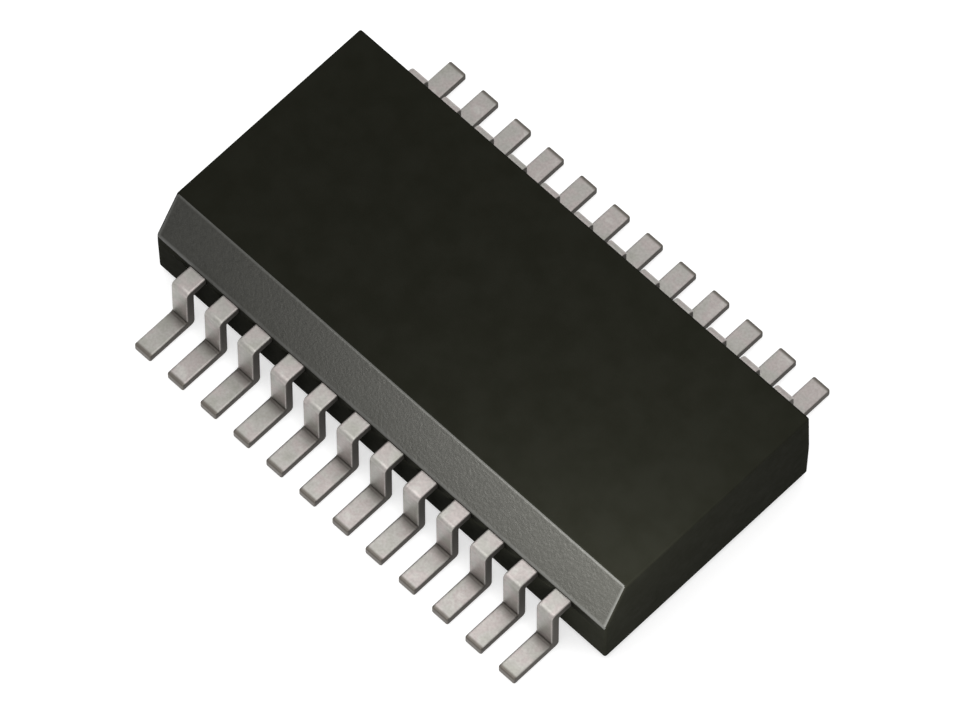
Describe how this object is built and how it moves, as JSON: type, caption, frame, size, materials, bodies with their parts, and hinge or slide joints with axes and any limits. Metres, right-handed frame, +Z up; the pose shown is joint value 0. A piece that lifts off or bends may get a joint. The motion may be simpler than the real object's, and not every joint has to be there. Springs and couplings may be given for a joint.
{
  "type": "analog-to-digital converter chip",
  "caption": "Black moulded converter chip with gull-wing leads along both long sides and a long bevel over the first row; lead frame, die and bond wires are inside.",
  "frame": {"origin": "on the plane of the feet, under the middle of the moulding", "axes": "+X along the rows of leads, away from lead 1; +Y from the bevelled row to the plain one; +Z up from the board"},
  "size_m": [0.0086, 0.0062, 0.0017],
  "materials": {
    "mould_compound": "fine matte moulded",
    "tin_plate": "matte tin plating on copper alloy",
    "frame_copper": "rolled copper alloy, spot silver plated",
    "die_adhesive": "silver-filled epoxy",
    "silicon": "polished silicon",
    "gold_wire": "drawn gold"
  },
  "bodies": {
    "root": {"moulded_body": "mould_compound", "lead_01": "tin_plate", "lead_02": "tin_plate", "lead_03": "tin_plate", "lead_04": "tin_plate", "lead_05": "tin_plate", "lead_06": "tin_plate", "lead_07": "tin_plate", "lead_08": "tin_plate", "lead_09": "tin_plate", "lead_10": "tin_plate", "lead_11": "tin_plate", "lead_12": "tin_plate", "lead_13": "tin_plate", "lead_14": "tin_plate", "lead_15": "tin_plate", "lead_16": "tin_plate", "lead_17": "tin_plate", "lead_18": "tin_plate", "lead_19": "tin_plate", "lead_20": "tin_plate", "lead_21": "tin_plate", "lead_22": "tin_plate", "lead_23": "tin_plate", "lead_24": "tin_plate", "die_paddle": "frame_copper", "die_attach": "die_adhesive", "silicon_die": "silicon", "bond_wire_01": "gold_wire", "bond_wire_02": "gold_wire", "bond_wire_03": "gold_wire", "bond_wire_04": "gold_wire", "bond_wire_05": "gold_wire", "bond_wire_06": "gold_wire", "bond_wire_07": "gold_wire", "bond_wire_08": "gold_wire", "bond_wire_09": "gold_wire", "bond_wire_10": "gold_wire", "bond_wire_11": "gold_wire", "bond_wire_12": "gold_wire", "bond_wire_13": "gold_wire", "bond_wire_14": "gold_wire", "bond_wire_15": "gold_wire", "bond_wire_16": "gold_wire", "bond_wire_17": "gold_wire", "bond_wire_18": "gold_wire", "bond_wire_19": "gold_wire", "bond_wire_20": "gold_wire", "bond_wire_21": "gold_wire", "bond_wire_22": "gold_wire", "bond_wire_23": "gold_wire", "bond_wire_24": "gold_wire"}
  },
  "joints": []
}
